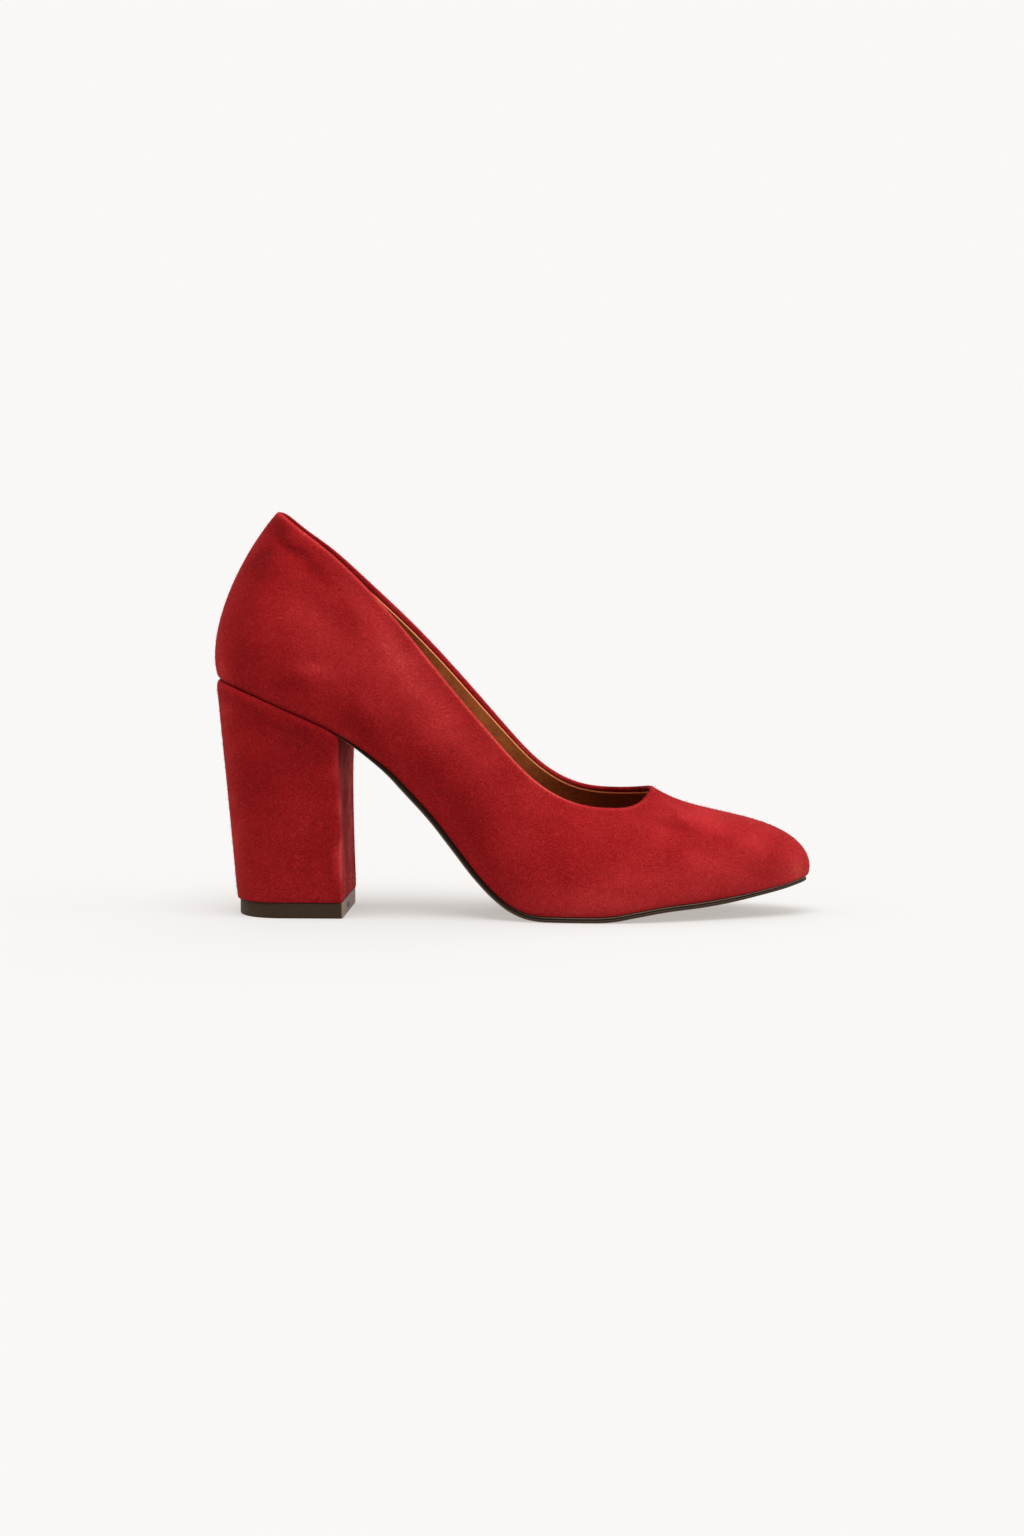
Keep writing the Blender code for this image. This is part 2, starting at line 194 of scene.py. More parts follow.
sectionColumns = (
    "name", "featherX", "featherOuter", "featherInner",
    "topX", "topOuter", "topInner", "topZOuter", "topZInner",
    "rise", "leanOuter", "leanInner",
    "lift", "bellyOuter", "bellyInner", "crestUp", "crestOut",
)
sectionRows = [
    ("back", 1.5, 0.0, 0.0, 24.2, 0.0, 0.0, 150.6, 150.6, 9.0, 2.4, 2.4, -7.0, 13.4, 13.4, 0.5, 7.6),
    ("counter", 5.9, 15.8, 15.8, 27.0, 7.8, 7.8, 149.5, 149.3, 10.0, 2.4, 2.4, -5.0, 10.3, 10.3, 0.5, 5.8),
    ("quarter", 17.0, 24.0, 24.0, 33.5, 15.2, 15.2, 144.9, 143.5, 11.0, 3.0, 3.0, -3.0, 7.8, 7.8, 0.5, 3.9),
    ("seat", 32.0, 26.2, 26.0, 43.5, 20.8, 20.6, 137.7, 135.6, 11.0, 3.0, 3.2, -2.0, 5.5, 5.5, 0.0, 2.5),
    ("breast", 48.0, 25.8, 24.6, 56.5, 23.4, 23.2, 126.0, 123.6, 11.0, 2.8, 3.6, -2.0, 4.0, 4.6, 0.0, 1.5),
    ("waist", 66.0, 24.2, 20.5, 73.0, 24.8, 24.6, 108.0, 107.7, 11.0, 2.8, 4.4, -2.0, 3.2, 4.2, 0.0, 1.0),
    ("shank", 84.0, 23.8, 17.2, 90.0, 25.6, 25.4, 87.1, 89.5, 11.0, 2.8, 5.0, -1.0, 3.6, 5.0, 0.0, 1.0),
    ("rise", 102.0, 27.2, 19.8, 107.0, 26.2, 26.0, 67.4, 70.2, 10.0, 2.8, 4.6, 0.0, 4.6, 6.4, 0.5, 1.4),
    ("joint", 121.0, 34.6, 29.0, 122.0, 26.4, 26.2, 52.1, 54.9, 9.0, 2.8, 3.6, 2.0, 6.4, 7.0, 1.5, 2.4),
    ("ball", 140.0, 37.6, 35.2, 136.0, 24.8, 24.6, 44.1, 47.4, 9.0, 2.6, 3.0, 4.0, 7.4, 7.4, 3.0, 3.0),
    ("vamp", 159.0, 36.2, 36.8, 148.0, 21.4, 21.4, 41.8, 45.9, 9.0, 2.6, 2.8, 5.5, 8.4, 8.0, 3.5, 3.4),
    ("toeSide", 178.0, 29.8, 33.6, 156.2, 15.6, 15.8, 41.8, 46.4, 10.1, 2.8, 2.8, 7.5, 9.6, 9.4, 2.4, 3.4),
    ("toe", 196.0, 21.2, 27.2, 161.2, 9.8, 10.2, 43.8, 47.2, 11.2, 3.0, 3.0, 8.8, 11.6, 11.4, -0.8, 3.6),
    ("toeCorner", 210.4, 13.0, 20.0, 163.5, 5.2, 5.6, 46.1, 47.7, 12.1, 3.2, 3.2, 9.6, 13.6, 13.4, -3.8, 4.0),
    ("toeRound", 219.4, 5.0, 12.0, 164.3, 2.2, 2.4, 47.2, 47.8, 12.6, 3.4, 3.4, 9.4, 15.0, 15.0, -4.8, 4.0),
    ("tip", 223.4, -3.5, 3.5, 164.5, -0.4, 0.4, 47.8, 47.8, 12.6, 3.4, 3.4, 9.4, 15.6, 15.6, -4.8, 4.0),
]


def monotoneSlopes(x, z):
    steps = np.diff(x)
    rates = np.diff(z) / steps
    slopes = np.zeros(len(x))
    slopes[0], slopes[-1] = rates[0], rates[-1]
    for i in range(1, len(x) - 1):
        before, after = rates[i - 1], rates[i]
        if before * after > 0:
            first = 2 * steps[i] + steps[i - 1]
            second = steps[i] + 2 * steps[i - 1]
            slopes[i] = (first + second) / (first / before + second / after)
    return slopes


def hermite(t, step, start, end, startSlope, endSlope):
    low = (1 + 2 * t) * (1 - t) ** 2 * start + t * (1 - t) ** 2 * step * startSlope
    high = t ** 2 * (3 - 2 * t) * end - t ** 2 * (1 - t) * step * endSlope
    return low + high


def smoothCurve(rows, column, at):
    # a smooth curve through one column of a table, read at any place along its first column
    x = np.array([row[0] for row in rows])
    z = np.array([row[column] for row in rows])
    slopes = monotoneSlopes(x, z)
    at = np.clip(at, x[0], x[-1])
    i = np.clip(np.searchsorted(x, at, side="right") - 1, 0, len(x) - 2)
    step = x[i + 1] - x[i]
    return hermite((at - x[i]) / step, step, z[i], z[i + 1], slopes[i], slopes[i + 1])


def bottomHeight(x):
    return smoothCurve(bottomRows, 1, x)


def belowBottom(points, depth):
    # points in plan, put on the last's bottom and moved square to it by depth
    x = points[..., 0]
    reach = 0.2
    slope = (bottomHeight(x + reach) - bottomHeight(x - reach)) / (2 * reach)
    length = np.sqrt(1 + slope ** 2)
    return np.stack([x + depth * slope / length, points[..., 1], bottomHeight(x) - depth / length], axis=-1)


def closedSpline(values, lengths, steps):
    count = len(values)
    system = np.zeros((count, count))
    right = np.zeros_like(values)
    for i in range(count):
        before, after = lengths[i - 1], lengths[i]
        following = (i + 1) % count
        system[i, i - 1] += after
        system[i, i] += 2 * (before + after)
        system[i, following] += before
        rateBefore = (values[i] - values[i - 1]) / before
        rateAfter = (values[following] - values[i]) / after
        right[i] = 3 * (after * rateBefore + before * rateAfter)
    slopes = np.linalg.solve(system, right)
    samples = []
    for i in range(count):
        following = (i + 1) % count
        for k in range(steps):
            ends = values[i], values[following], slopes[i], slopes[following]
            samples.append(hermite(k / steps, lengths[i], *ends))
    return np.array(samples)


def sideValues(row, side):
    cell = dict(zip(sectionColumns, row))
    name = "Outer" if side < 0 else "Inner"
    return [
        cell["featherX"], side * cell["feather" + name],
        cell["topX"], side * cell["top" + name], cell["topZ" + name],
        cell["rise"], cell["lean" + name],
        cell["lift"], cell["belly" + name], cell["crestUp"], cell["crestOut"],
    ]


def lastSections(steps):
    # from the back along the outer side to the tip, and back along the inner side
    outer = [sideValues(row, -1) for row in sectionRows]
    inner = [sideValues(row, 1) for row in sectionRows[-2:0:-1]]
    values = np.array(outer + inner)
    lengths = np.linalg.norm(np.roll(values[:, :2], -1, axis=0) - values[:, :2], axis=1)
    return closedSpline(values, lengths, steps)


def outwardInPlan(sections):
    along = np.roll(sections[:, :2], -1, axis=0) - np.roll(sections[:, :2], 1, axis=0)
    normal = np.stack([along[:, 1], -along[:, 0]], axis=1)
    return normal / np.linalg.norm(normal, axis=1)[:, None]


def bezier(controls, t):
    layer = list(controls)
    while len(layer) > 1:
        layer = [(1 - t) * a + t * b for a, b in zip(layer, layer[1:])]
    return layer[0]


def unit(vectors):
    return vectors / np.linalg.norm(vectors, axis=-1, keepdims=True)


def makeLast(opts):
    # rows run from the topline down the wall, round the feather line and under the foot
    sections = lastSections(opts["columnSteps"])
    normal = outwardInPlan(sections)
    flat = np.concatenate([normal, np.zeros((len(normal), 1))], axis=1)
    up = np.array([0.0, 0.0, 1.0])
    feather = np.stack([sections[:, 0], sections[:, 1], bottomHeight(sections[:, 0])], axis=1)
    top = sections[:, 2:5]
    rise, lean, lift, belly, crestUp, crestOut = (sections[:, i:i + 1] for i in range(5, 11))
    wall = feather + flat * lean + up * rise
    turnRound = np.interp(sections[:, 0:1], opts["toeSpan"], (opts["featherRound"], opts["toeRound"]))
    middle = (feather + top) / 2 + flat * belly + up * lift
    crest = top + (feather - top) / 4 + flat * crestOut + up * crestUp
    start = feather + unit(wall - feather) * turnRound

    def under(inset):
        inner = feather - flat * inset
        inner[:, 2] = bottomHeight(inner[:, 0])
        return inner

    turn = under(turnRound)
    rows = [bezier((top, crest, middle, wall, start), t) for t in np.linspace(0, 1, opts["wallRows"] + 1)]
    wallCount = len(rows)
    rows += [bezier((start, feather, turn), t) for t in np.linspace(0, 1, opts["turnRows"] + 1)[1:]]
    rows += [under(turnRound + opts["margin"] * share) for share in (0.5, 1.0)]
    points = np.array(rows)
    around = np.roll(points, -1, axis=1) - np.roll(points, 1, axis=1)
    down = np.gradient(points, axis=0)
    normals = unit(np.cross(down, around))
    lengths = np.linalg.norm(np.diff(points, axis=0), axis=2)
    run = np.concatenate([np.zeros((1, points.shape[1])), np.cumsum(lengths, axis=0)])
    return dict(
        points=points, normals=normals, run=run,
        wall=run[wallCount - 1], whole=run[-1],
        rimUp=-unit(down[0]),
    )


lastSet = dict(
    columnSteps=12, wallRows=160, turnRows=12, featherRound=1.7, toeRound=0.9, toeSpan=(192.0, 218.0),
    margin=5.8,
)
last = makeLast(lastSet)
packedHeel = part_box("top_piece")
heelBackEdge = 9.7  # the top piece starts this far from the back of the heel seam
shift = np.array([
    packedHeel[0].x / mm - heelBackEdge,
    (packedHeel[0].y + packedHeel[1].y) / 2 / mm,
    0.0,
])
print("last drawn, columns:", last["points"].shape[1], "shift:", [round(float(v), 3) for v in shift])


def wallPoints(down, depth):
    # points this far down from the topline, measured along the wall, and this far inside its outer face
    columns = last["points"].shape[1]
    down = np.broadcast_to(np.asarray(down, dtype=float), (columns,))
    within = np.clip(down, 0.0, None)
    point = np.empty((columns, 3))
    normal = np.empty((columns, 3))
    for i in range(columns):
        for k in range(3):
            point[i, k] = np.interp(within[i], last["run"][:, i], last["points"][:, i, k])
            normal[i, k] = np.interp(within[i], last["run"][:, i], last["normals"][:, i, k])
    normal = unit(normal)
    point = point + last["rimUp"] * (within - down)[:, None]
    return point - normal * depth, normal


creaseSet = dict(
    # soft troughs of the worn-in leather: three points on the wall, width, depth (negative in a ridge)
    rows=(
        ("collarTrough", (22.5, -13.5, 140.7), (38.8, -21.5, 130.2), (55.5, -25.0, 118.0), 3.8, 0.55),
        ("collarRidge", (24.0, -16.5, 134.0), (40.0, -24.0, 122.5), (58.0, -26.0, 108.0), 5.0, -0.35),
        ("waistTrough", (60.0, -26.5, 100.0), (78.0, -27.5, 78.0), (96.0, -28.5, 56.0), 6.0, 0.35),
        ("jointTrough", (112.0, -36.0, 14.0), (122.0, -38.0, 26.0), (128.0, -35.0, 40.0), 5.5, 0.4),
        ("vampTrough", (150.0, -34.0, 24.0), (158.0, -26.0, 37.5), (163.0, -12.0, 43.0), 5.5, 0.4),
        ("innerCollarTrough", (24.0, 15.0, 138.0), (42.0, 23.0, 124.0), (60.0, 26.0, 108.0), 4.5, 0.5),
        ("innerWaistTrough", (64.0, 25.0, 92.0), (84.0, 25.0, 68.0), (104.0, 27.0, 44.0), 6.0, 0.35),
        ("innerJointTrough", (118.0, 35.0, 14.0), (126.0, 37.0, 27.0), (132.0, 34.0, 41.0), 5.5, 0.4),
    ),
    samples=24,
)


def creaseDepth(points):
    total = np.zeros(points.shape[:-1])
    for name, start, middle, end, width, depth in creaseSet["rows"]:
        route = bezier([np.array(p)[None] for p in (start, middle, end)],
                       np.linspace(0, 1, creaseSet["samples"])[:, None])
        fade = np.sin(np.pi * np.linspace(0, 1, creaseSet["samples"]))
        strongest = np.zeros(total.shape)
        for place, share in zip(route, fade):
            distance = np.linalg.norm(points - place, axis=-1)
            strongest = np.maximum(strongest, share * np.exp(-(distance / width) ** 2))
        total += depth * strongest
    return total


def creasedRing(down, depth):
    point, normal = wallPoints(down, depth)
    outer, _ = wallPoints(down, 0.0)
    return point - normal * creaseDepth(outer)[:, None]


def shellMesh(name, rings, closed=False, sharp=40.0, nap=0.0, pile=0.0):
    # rings of points in millimetres, joined into a closed skin; open ends are closed at a pole
    rings = np.asarray(rings, dtype=float)
    count, columns = rings.shape[:2]
    shape = bmesh.new()
    for label in ("nap", "pile"):
        shape.verts.layers.float.new(label)
    verts = [[shape.verts.new((p + shift) * mm) for p in ring] for ring in rings]
    for layer, rows in zip(shape.verts.layers.float.values(), (nap, pile)):
        for ring, values in zip(verts, np.broadcast_to(np.asarray(rows, dtype=float), (count, columns))):
            for vertex, value in zip(ring, values):
                vertex[layer] = value
    pairs = [(i, i + 1) for i in range(count - 1)] + ([(count - 1, 0)] if closed else [])
    surface = shape.loops.layers.uv.new("surface")
    lap = np.linalg.norm(np.roll(rings[0], -1, axis=0) - rings[0], axis=1)
    along = np.concatenate([[0], np.cumsum(lap)]) * mm
    steps = np.linalg.norm(np.diff(np.concatenate([rings, rings[:1]]), axis=0), axis=2).mean(axis=1)
    downward = np.concatenate([[0], np.cumsum(steps)]) * mm
    for low, high in pairs:
        for i in range(columns):
            j = (i + 1) % columns
            face = shape.faces.new((verts[low][i], verts[low][j], verts[high][j], verts[high][i]))
            for loop, (u, v) in zip(face.loops, ((i, low), (i + 1, low), (i + 1, low + 1), (i, low + 1))):
                loop[surface].uv = (along[u], downward[v])
    if not closed:
        for ring, order in ((verts[0], -1), (verts[-1], 1)):
            centre = sum((v.co for v in ring), Vector()) / columns
            pole = shape.verts.new(centre)
            for i in range(columns):
                j = (i + 1) % columns
                corners = (ring[i], ring[j], pole) if order > 0 else (ring[j], ring[i], pole)
                shape.faces.new(corners)
    return finishMesh(name, shape, sharp)


def finishMesh(name, shape, sharp):
    bmesh.ops.remove_doubles(shape, verts=shape.verts, dist=0.000002)
    bmesh.ops.recalc_face_normals(shape, faces=shape.faces)
    if shape.calc_volume(signed=True) < 0:
        bmesh.ops.reverse_faces(shape, faces=shape.faces)
    mesh = bpy.data.meshes.new(name)
    shape.to_mesh(mesh)
    shape.free()
    mesh.shade_smooth()
    mesh.set_sharp_from_angle(angle=math.radians(sharp))
    return addObject(name, mesh)


napAndPaintedLightSet = dict(
    # where the suede and the lining are painted lighter or darker: a few marks are brushed patches of nap,
    # most are painted highlights and painted shade where the light falls or misses; place along the shoe and
    # height, two radii, turn, amount
    # upper: painted highlights on the lit collar, quarter, ball and toe; painted shade in the collar crease,
    # at the seat, the waist and the throat's rim; brushed patches of nap
    upper=(
        ("overall", 110.0, 60.0, 900.0, 900.0, 0.0, 0.09),
        ("collarLight", 65.0, 105.5, 24.0, 7.0, -54.0, 0.72),
        ("collarLightLow", 92.0, 72.0, 26.0, 8.5, -50.0, 0.70),
        ("quarterLight", 56.0, 97.0, 32.0, 17.0, -50.0, 0.34),
        ("quarterLow", 77.0, 86.0, 14.0, 9.0, -50.0, 0.30),
        ("throatLight", 118.0, 50.0, 14.0, 7.0, -50.0, 0.24),
        ("brushedPatch", 40.5, 93.8, 6.5, 3.6, -15.0, 0.58),
        ("patchShade", 31.0, 88.0, 6.0, 3.6, 0.0, -0.38),
        ("backShade", 12.0, 114.0, 26.0, 8.0, 80.0, -0.44),
        ("collarBackShade", 19.0, 134.5, 11.0, 5.0, 60.0, -0.50),
        ("backLowShade", 16.0, 94.0, 9.0, 7.0, 90.0, -0.24),
        ("heelSeatLight", 4.0, 89.0, 9.0, 5.0, 90.0, 0.72),
        ("seamLight", 26.0, 75.5, 28.0, 2.2, -20.0, 0.34),
        ("waistEdgeLight", 62.0, 57.0, 11.0, 2.4, -40.0, 0.34),
        ("collarShade", 30.8, 138.6, 9.5, 2.7, -41.0, -0.92),
        ("peakShade", 22.0, 145.0, 5.0, 3.0, 0.0, -0.34),
        ("collarShadeEnd", 42.0, 129.5, 8.0, 2.6, -42.0, -0.34),
        ("quarterShade", 54.0, 112.5, 10.0, 5.5, -48.0, -0.40),
        ("collarMiddleShade", 25.0, 129.0, 9.0, 5.0, -45.0, -0.20),
        ("quarterMiddle", 45.0, 106.5, 14.0, 5.0, -38.0, 0.30),
        ("seatShade", 57.0, 75.0, 10.0, 5.5, -28.0, -0.56),
        ("seatShadeFront", 59.0, 66.5, 9.0, 4.5, -40.0, -0.40),
        ("seamShade", 32.0, 83.0, 14.0, 3.5, -22.0, -0.12),
        ("waistShade", 88.0, 50.0, 20.0, 5.5, -52.0, -0.38),
        ("waistShadeLow", 101.0, 29.0, 10.0, 4.0, -58.0, -0.36),
        ("ballLight", 145.0, 6.0, 24.0, 6.0, 0.0, 0.75),
        ("ballMiddle", 154.0, 18.0, 13.0, 6.0, 5.0, 0.32),
        ("toeLowLight", 186.0, 13.0, 26.0, 7.0, 8.0, 0.70),
        ("toeEdgeLight", 207.0, 10.5, 14.0, 4.0, 14.0, 0.50),
        ("toeUpperLight", 205.0, 27.0, 8.0, 5.0, -14.0, 0.62),
        ("toeMiddleLight", 185.0, 23.0, 10.0, 4.0, -8.0, 0.50),
        ("toeTipLight", 219.0, 17.0, 7.0, 8.0, 0.0, 0.90),
        ("toeTopLight", 182.0, 36.5, 12.0, 3.5, -16.0, 0.62),
        ("toeStreak", 165.0, 17.0, 22.0, 2.6, 8.0, 0.22),
        ("vampLight", 117.0, 32.0, 9.0, 6.0, 30.0, 0.10),
        ("throatFront", 168.0, 33.0, 4.5, 8.0, 0.0, 0.30),
        ("vampShadeFront", 173.0, 35.5, 8.0, 3.2, -20.0, -0.58),
        ("toeShade", 190.0, 13.0, 6.0, 4.0, -12.0, -0.20),
        ("throatRimShade", 154.0, 46.8, 9.0, 1.5, -4.0, -1.50),
        ("archShade", 113.0, 54.0, 7.0, 4.0, 0.0, -0.26),
    ),
    # heel cover: painted shade under the upper's edge and in its middle, painted highlights on its back edge,
    # corners and breast
    heel=(
        ("topShade", 22.0, 74.5, 24.0, 7.0, -20.0, -0.52),
        ("topEdgeLight", 36.0, 73.0, 16.0, 1.6, -22.0, 0.20),
        ("frontTopShade", 37.0, 62.0, 10.0, 9.0, 0.0, -0.30),
        ("backTop", 4.5, 77.0, 6.0, 5.0, 0.0, 0.40),
        ("middleShade", 20.0, 52.0, 9.0, 10.0, 0.0, -0.26),
        ("lowLight", 14.0, 26.0, 14.0, 14.0, 0.0, 0.10),
        ("backEdge", 4.5, 40.0, 40.0, 4.5, 93.0, 0.46),
        ("backCorner", 7.5, 26.0, 8.0, 4.0, 90.0, 0.22),
        ("frontCorner", 48.8, 54.0, 24.0, 1.5, 90.0, 0.60),
        ("breast", 50.3, 44.0, 90.0, 1.2, 90.0, 1.30),
    ),
    # lining: painted shade deep inside at the back and towards the throat
    lining=(
        ("backShade", 56.0, 118.0, 30.0, 20.0, -50.0, -0.60),
        ("archLight", 112.0, 56.0, 20.0, 12.0, -50.0, -0.04),
        ("throatShade", 150.0, 36.0, 20.0, 12.0, -10.0, -0.45),
    ),
    wander=2.6, wanderSize=9.0,  # the marks' edges stray by this much, over patches of this size
    seed=1,  # keeps the stray the same in each run
)
noise.seed_set(napAndPaintedLightSet["seed"])


def napAndPaintedLightAt(points, rows):
    # adds up the soft marks of painted light and shade, their edges strayed a little
    flat = points.reshape(-1, 3)
    stray = np.array([noise.noise_vector(p / napAndPaintedLightSet["wanderSize"]) for p in flat]) * napAndPaintedLightSet["wander"]
    x, z = flat[:, 0] + stray[:, 0], flat[:, 2] + stray[:, 2]
    total = np.zeros(len(flat))
    for name, centreX, centreZ, longer, shorter, turn, amount in rows:
        angle = math.radians(turn)
        along = (x - centreX) * math.cos(angle) + (z - centreZ) * math.sin(angle)
        aside = (z - centreZ) * math.cos(angle) - (x - centreX) * math.sin(angle)
        total += amount * np.exp(-(along / longer) ** 2 - (aside / shorter) ** 2)
    return total.reshape(points.shape[:-1])


# Suede upper: outer face, folded edge, and the skin's inner face

upperSet = dict(
    skin=1.0,  # suede and its backing
    rimRound=0.8,  # the fold at the topline
    foldDeep=1.6,  # two layers of suede at the fold
    # how far down the folded strip ends inside, by place along the shoe
    foldEnd=((98.0, 2.8), (124.0, 1.7), (140.0, 1.8), (156.0, 2.3)),
    brow=3.6,  # here the rows of the wall end and those of the edge begin
    # painted highlight along the topline: a band just under the rim, a line over the rounded fold, and how
    # strong it is along the shoe
    browLight=((3.1, 0.0), (2.6, 0.05), (2.1, 0.12), (1.6, 0.25), (1.2, 0.6)),
    rimLight=(1.2, 1.4, 0.7, 0.45, 0.35, 0.45, 0.6, 0.5, 0.4),
    rimFade=((40.0, 0.7), (62.0, 0.65), (100.0, 0.9), (130.0, 1.2), (146.0, 0.2), (164.0, 0.0)),
    wallRows=70, innerRows=40,
    crowding=1.15,  # rows stand closer towards the topline
    backSeam=(0.32, 0.55), seamEnd=40.0,  # depth and half width of the closed seam, all of it behind this
    # painted shade and painted light on the strip turned inside, by place along the shoe
    foldShade=((100.0, -0.2), (114.0, 0.8), (136.0, 1.1), (147.0, -0.8)),
)


def alongTopline(rows):
    return np.interp(last["points"][0, :, 0], [x for x, _ in rows], [value for _, value in rows])


def makeUpper(opts):
    wall, under = last["wall"], last["whole"] - last["wall"]
    r, edge, skin, fold = opts["rimRound"], alongTopline(opts["foldEnd"]), opts["skin"], opts["foldDeep"]
    # distance down from the topline, depth, painted light and shade added to the tone, and whether fibres
    # stand there
    # painted shade on the part turned under the foot
    stations = [(wall + under * share, 0.0, -0.4, 0) for share in (1.0, 0.75, 0.5, 0.35)]
    stations += [(wall + under * share, 0.0, -0.1, 0) for share in np.linspace(0.24, 0.02, 10)]
    for share in np.linspace(1, 0, opts["wallRows"]) ** opts["crowding"]:
        stations.append((opts["brow"] + (wall - opts["brow"]) * share, 0.0, 0.0, 1))
    # painted highlight under the rim and on the rounded fold
    stations += [(down, 0.0, light, 1) for down, light in opts["browLight"]]
    rimFade = alongTopline(opts["rimFade"])
    for angle, light in zip(np.linspace(0, math.pi, 9), opts["rimLight"]):
        stations.append((r - r * math.sin(angle), r - r * math.cos(angle), light * rimFade, 1))
    # painted shade and light on the folded strip and on the inner face
    shade = alongTopline(opts["foldShade"])
    stations += [(edge * 0.5, fold, shade + 0.3, 0), (edge * 0.72, fold, shade + 0.1, 0)]
    stations += [(edge - 0.2, fold - 0.05, shade, 0), (edge, fold - 0.3, shade - 0.2, 0)]
    stations += [(edge + 0.15, skin + 0.1, shade, 0), (edge + 0.6, skin, shade, 0)]
    for share in np.linspace(0, 1, opts["innerRows"])[1:]:
        stations.append((edge + 0.6 + (wall - edge - 0.6) * share, skin, shade, 0))
    stations += [(wall + under * share, skin, shade, 0) for share in (0.06, 0.12, 0.2, 0.35, 0.6, 0.8, 0.985)]

    rings, nap, pile = [], [], []
    for down, depth, paintedShading, hairy in stations:
        rings.append(creasedRing(down, depth))
        nap.append(np.broadcast_to(paintedShading, len(rings[-1])))
        pile.append(hairy)
    rings = np.array(rings)
    seamDeep, seamHalf = opts["backSeam"]
    atSeam = np.exp(-(rings[..., 1] / seamHalf) ** 2) * (rings[..., 0] < opts["seamEnd"])
    facing = np.array([depth < 0.01 for _, depth, _, _ in stations])[:, None]
    rings[..., 0] += seamDeep * atSeam * facing
    # the painted marks of light and shade, and a darker line down the back seam
    nap = np.array(nap) + napAndPaintedLightAt(rings, napAndPaintedLightSet["upper"]) - 0.5 * atSeam
    return shellMesh("upperSuede", rings, closed=True, sharp=60, nap=nap, pile=np.array(pile)[:, None])


upper = makeUpper(upperSet)
print("upper:", len(upper.data.polygons), "faces")


# Lining: tan leather inside the suede, its rounded edge showing under the fold

# edgeLight: how light the cut edge is made, its own paleness and a painted highlight on it
liningSet = dict(below=0.1, near=1.08, far=1.72, lowerEnd=0.3, rows=60, mottle=0.12, mottleSize=6.0,
                 edgeLight=1.1)


def makeLining(opts):
    near, far, top = opts["near"], opts["far"], alongTopline(upperSet["foldEnd"]) + opts["below"]
    middle, half = (near + far) / 2, (far - near) / 2
    end = last["wall"] + opts["lowerEnd"]
    first = top + half + 0.6
    stations = [(first + (end - first) * share, near, 0.0) for share in np.linspace(1, 0, opts["rows"])]
    for angle in np.linspace(0, math.pi, 9):
        stations.append((top + half - half * math.sin(angle), middle - half * math.cos(angle), 1.0))
    stations += [(top + half + 0.12, far, 0.85), (top + half + 0.3, far, 0.0)]
    stations += [(first + (end - first) * share, far, 0.0) for share in np.linspace(0, 1, opts["rows"])]
    rings = np.array([creasedRing(down, depth) for down, depth, _ in stations])
    # the rounded cut edge: paler as cut, and painted with a highlight; the rest takes the lining's painted
    # shade and mottle
    cutEdgeAndHighlight = np.array([[light] for _, _, light in stations])
    mottle = [noise.noise(Vector(p / opts["mottleSize"])) for p in rings.reshape(-1, 3)]
    tone = napAndPaintedLightAt(rings, napAndPaintedLightSet["lining"]) + opts["mottle"] * np.array(mottle).reshape(rings.shape[:2])
    tone = cutEdgeAndHighlight * opts["edgeLight"] + tone * (1 - cutEdgeAndHighlight)
    return shellMesh("lining", rings, closed=True, sharp=60, nap=tone)


lining = makeLining(liningSet)
print("lining:", len(lining.data.polygons), "faces")


# Flat pieces under and inside the upper: grids across the foot, one above the other

leastStep = 0.4  # no column stands nearer to the first one than this


def soleOutline(inset, firstX=None):
    sections = lastSections(lastSet["columnSteps"])
    points = sections[:, :2] - outwardInPlan(sections) * inset
    half = len(points) // 2
    outer = points[:half + 1]
    inner = np.concatenate([points[:1], points[:half - 1:-1]])
    if firstX is not None:
        keep = outer[:, 0] > firstX + leastStep
        outer, inner = outer[keep], inner[keep]
        outer = np.concatenate([[[firstX, outer[0, 1]]], outer])
        inner = np.concatenate([[[firstX, inner[0, 1]]], inner])
    return outer, inner


def across(outer, inner, strips):
    shares = np.linspace(0, 1, strips + 1)
    return outer[:, None] + (inner - outer)[:, None] * shares[None, :, None]


def stackMesh(name, layers, sharp=50.0, nap=None):
    shape = bmesh.new()
    lined = shape.verts.layers.float.new("nap")
    grids = [[[shape.verts.new((p + shift) * mm) for p in line] for line in layer] for layer in layers]

    def rim(grid):
        side = [line[0] for line in grid[:-1]]
        side += grid[-1][:-1]
        side += [line[-1] for line in grid[:0:-1]]
        side += grid[0][:0:-1]
        return side

    for grid in (grids[0], grids[-1]):
        for line, following in zip(grid, grid[1:]):
            for i in range(len(line) - 1):
                shape.faces.new((line[i], line[i + 1], following[i + 1], following[i]))
    for low, high in zip(grids, grids[1:]):
        below, above = rim(low), rim(high)
        for i in range(len(below)):
            shape.faces.new((below[i - 1], below[i], above[i], above[i - 1]))
    for grid, values in zip(grids, nap or [np.zeros(len(grid)) for grid in grids]):
        for line, value in zip(grid, values):
            line[0][lined] = value
            line[-1][lined] = value
    loose = set(shape.verts) - {v for face in shape.faces for v in face.verts}
    bmesh.ops.delete(shape, geom=list(loose), context="VERTS")
    return finishMesh(name, shape, sharp)


